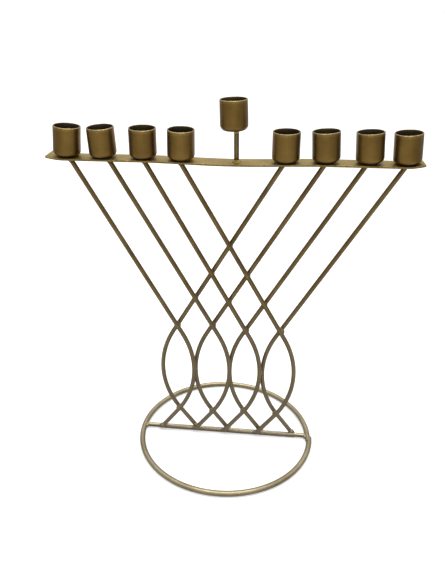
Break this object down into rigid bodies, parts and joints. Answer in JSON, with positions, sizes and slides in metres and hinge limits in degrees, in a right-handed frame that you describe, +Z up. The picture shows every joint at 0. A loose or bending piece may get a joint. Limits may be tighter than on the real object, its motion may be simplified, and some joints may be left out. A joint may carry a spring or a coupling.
{
  "type": "menorah",
  "caption": "Table menorah in antique-brass metal: bent rods on a round ring foot form a lattice that carries a flat bar with a row of candle cups and a raised helper cup.",
  "frame": {"origin": "on the table, under the middle of the object's bounding box, which is also the middle of the base ring", "axes": "+Z up, +X to the viewer's right along the top bar, -Y towards the viewer"},
  "size_m": [0.297, 0.165, 0.319],
  "materials": {
    "ring": "satin antique brass, lighter on top",
    "rods": "satin antique brass, browner than the ring",
    "top_bar": "satin antique brass, rubbed along its edges",
    "cups": "satin antique brass with dark insides",
    "welds": "uneven weld and braze metal under the same finish"
  },
  "bodies": {
    "root": {"base_ring": "ring", "crossbar": "rods", "rod_left_1": "rods", "rod_left_2": "rods", "rod_left_3": "rods", "rod_left_4": "rods", "rod_right_1": "rods", "rod_right_2": "rods", "rod_right_3": "rods", "rod_right_4": "rods", "top_bar": "top_bar", "cup_1": "cups", "cup_2": "cups", "cup_3": "cups", "cup_4": "cups", "cup_5": "cups", "cup_6": "cups", "cup_7": "cups", "cup_8": "cups", "shamash_stem": "rods", "shamash_cup": "cups", "ring_seam_weld": "welds", "crossbar_weld": "welds", "rod_foot_welds": "welds", "lattice_welds": "welds", "leaf_side_welds": "welds", "rod_top_welds": "welds", "cup_braze_pads": "welds", "shamash_welds": "welds"}
  },
  "joints": []
}
